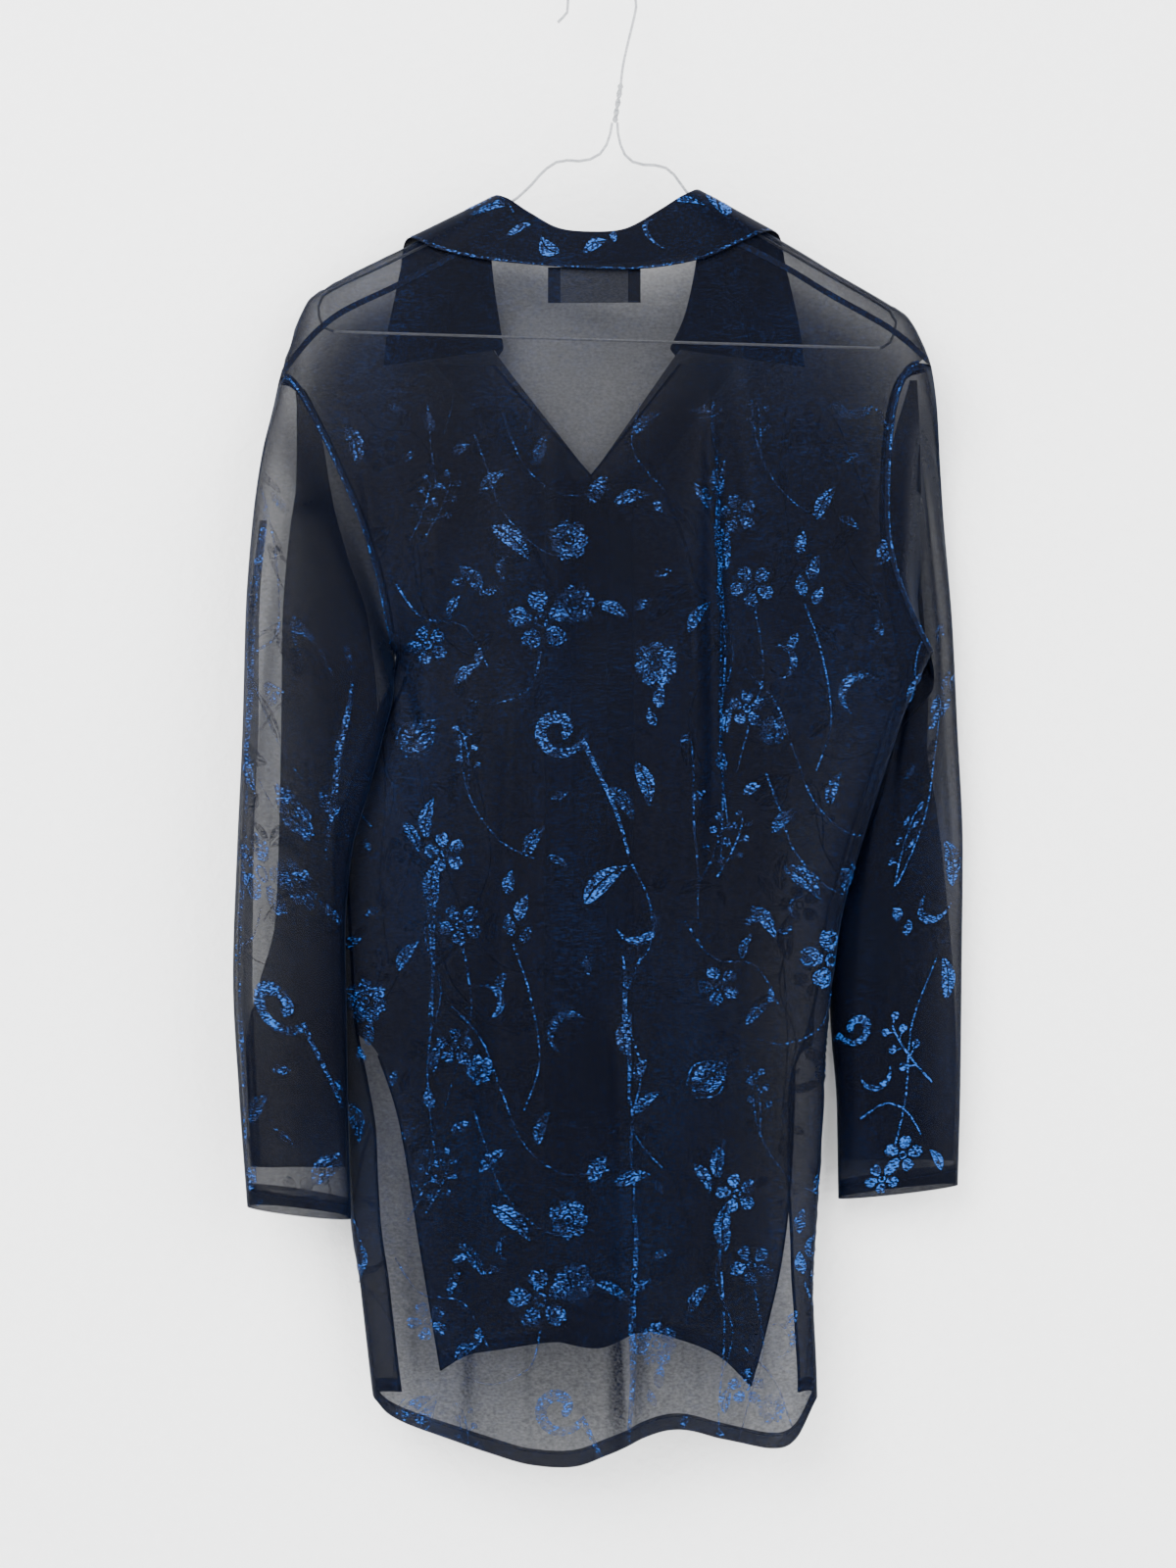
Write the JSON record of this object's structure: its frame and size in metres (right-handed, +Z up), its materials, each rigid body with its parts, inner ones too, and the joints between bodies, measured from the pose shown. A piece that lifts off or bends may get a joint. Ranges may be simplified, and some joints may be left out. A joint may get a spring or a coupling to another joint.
{
  "type": "mesh blouse on a wire hanger",
  "caption": "Long sheer mesh blouse with turned collar, V opening, long sleeves and side slits, hanging flat on a wire hanger, its back longer than its fronts.",
  "frame": {"origin": "the inside top of the hanger's hook, where a rail or wall hook holds it", "axes": "+Z up, +X to the right as the back of the blouse is looked at (the wearer's right), +Y from the blouse's back to its fronts"},
  "size_m": [0.5332, 0.0762, 1.0864],
  "materials": {
    "mesh_cloth": "sheer black and navy organza mesh with shiny blue woven flowers and scrolls",
    "label_cloth": "woven satin ribbon, bare",
    "button_plastic": "dark navy, polished",
    "hanger_steel": "bright galvanised wire"
  },
  "bodies": {
    "root": {"back_panel": "mesh_cloth", "front_left": "mesh_cloth", "front_right": "mesh_cloth", "facing_left": "mesh_cloth", "facing_right": "mesh_cloth", "sleeve_left": "mesh_cloth", "sleeve_right": "mesh_cloth", "collar": "mesh_cloth", "neck_label": "label_cloth", "button_1": "button_plastic", "button_2": "button_plastic", "button_3": "button_plastic", "button_4": "button_plastic", "button_5": "button_plastic", "button_6": "button_plastic", "hanger_hook": "hanger_steel", "hanger_twist": "hanger_steel", "hanger_arm_left": "hanger_steel", "hanger_arm_right": "hanger_steel", "hanger_bar": "hanger_steel"}
  },
  "joints": []
}
